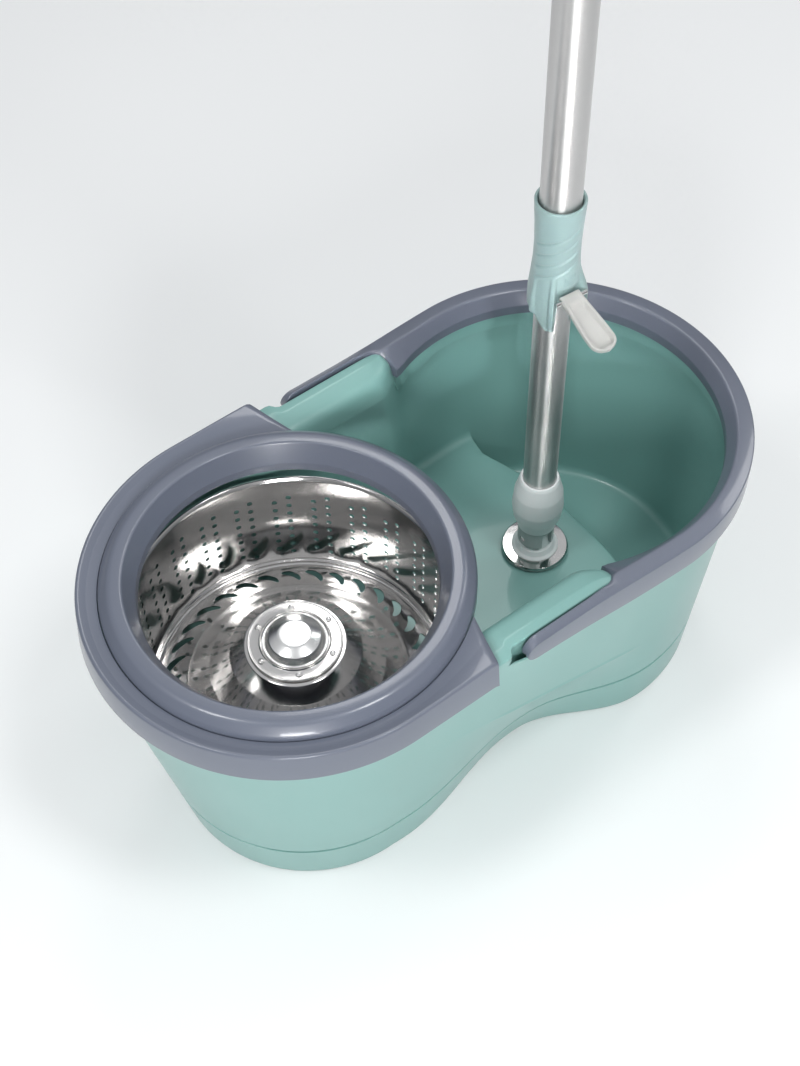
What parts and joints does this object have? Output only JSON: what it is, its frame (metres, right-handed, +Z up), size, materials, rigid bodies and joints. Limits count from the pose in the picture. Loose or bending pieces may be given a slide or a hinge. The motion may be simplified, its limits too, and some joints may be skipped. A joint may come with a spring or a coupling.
{
  "type": "spin mop with bucket",
  "caption": "Two-lobe mop bucket with a perforated spin basket, splash ring, swinging bail and a press-to-spin telescopic mop pole with a flip lock.",
  "frame": {"origin": "centre of the bucket's footprint, on the floor plane", "axes": "+X from the spin basket towards the wash well, +Z up, +Y to the back"},
  "size_m": [0.495, 0.275, 1.1973],
  "materials": {
    "mint_plastic": "smooth moulded polypropylene, soft gloss",
    "slate_plastic": "smooth moulded plastic, soft gloss",
    "grey_plastic": "satin moulded plastic",
    "white_plastic": "off-white moulded plastic",
    "stainless": "polished stainless steel",
    "chromed_plastic": "bright chromed plastic",
    "foam": "closed-cell foam sleeve"
  },
  "bodies": {
    "bucket": {"bucket_shell": "mint_plastic", "basket_deck": "slate_plastic", "splash_ring": "slate_plastic", "basket_pillar": "grey_plastic", "pillar_screw_1": "stainless", "pillar_screw_2": "stainless", "pillar_screw_3": "stainless", "pillar_screw_4": "stainless", "basket_axle": "stainless", "thrust_ball": "stainless", "pivot_pin_front": "grey_plastic", "pivot_pin_back": "grey_plastic", "wash_spindle": "stainless"},
    "bail": {"bail_handle": "slate_plastic"},
    "basket": {"spin_basket": "stainless", "basket_carrier": "grey_plastic", "axle_bush": "white_plastic", "hub_flange": "stainless", "hub_dome": "chromed_plastic", "hub_rivet_1": "stainless", "hub_rivet_2": "stainless", "hub_rivet_3": "stainless", "hub_rivet_4": "stainless", "hub_rivet_5": "stainless", "hub_rivet_6": "stainless"},
    "wash_table": {"wash_turntable": "grey_plastic"},
    "mop_foot": {"foot_disc": "stainless", "foot_stub": "grey_plastic", "knuckle_pin": "stainless"},
    "lower_pole": {"knuckle_fork": "grey_plastic", "bulb_collar": "grey_plastic", "lower_tube": "stainless", "drive_nut": "white_plastic"},
    "twist_bush": {"guide_bush": "grey_plastic"},
    "handle": {"upper_tube": "stainless", "twisted_rod": "stainless", "rod_anchor": "grey_plastic", "lock_sleeve": "mint_plastic", "lever_pin": "stainless", "grip": "foam", "hang_cap": "mint_plastic"},
    "lever": {"lock_lever": "white_plastic"}
  },
  "joints": [
    {"name": "bail_swing", "type": "hinge", "parent": "bucket", "child": "bail", "pos_m": [-0.016, 0, 0.202], "axis": [0, -1, 0], "range_deg": [0, 45]},
    {"name": "basket_spin", "type": "hinge", "parent": "bucket", "child": "basket", "pos_m": [-0.111, 0, 0.1373], "axis": [0, 0, 1], "continuous": true},
    {"name": "wash_spin", "type": "hinge", "parent": "bucket", "child": "wash_table", "pos_m": [0.1025, 0, 0.077], "axis": [0, 0, 1], "range_deg": [-721, 1441]},
    {"name": "mop_lift", "type": "slide", "parent": "wash_table", "child": "mop_foot", "axis": [0, 0, 1], "range_m": [0, 0.35]},
    {"name": "pole_tilt", "type": "hinge", "parent": "mop_foot", "child": "lower_pole", "pos_m": [0.1025, 0, 0.098], "axis": [1, 0, 0], "range_deg": [-12, 12]},
    {"name": "handle_twist", "type": "hinge", "parent": "lower_pole", "child": "twist_bush", "pos_m": [0.1025, 0, 0.75], "axis": [0, 0, 1], "range_deg": [-1441, 721]},
    {"name": "press", "type": "slide", "parent": "twist_bush", "child": "handle", "axis": [0, 0, 1], "range_m": [-0.12, 0.24]},
    {"name": "lever_flip", "type": "hinge", "parent": "handle", "child": "lever", "pos_m": [0.101, -0.01714, 0.352], "axis": [0.9962, -0.0872, 0], "range_deg": [-15, 76]}
  ],
  "couplings": [
    {"joint": "wash_spin", "follows": "press", "rad_per_m": 104.72},
    {"joint": "handle_twist", "follows": "press", "rad_per_m": -104.72}
  ]
}
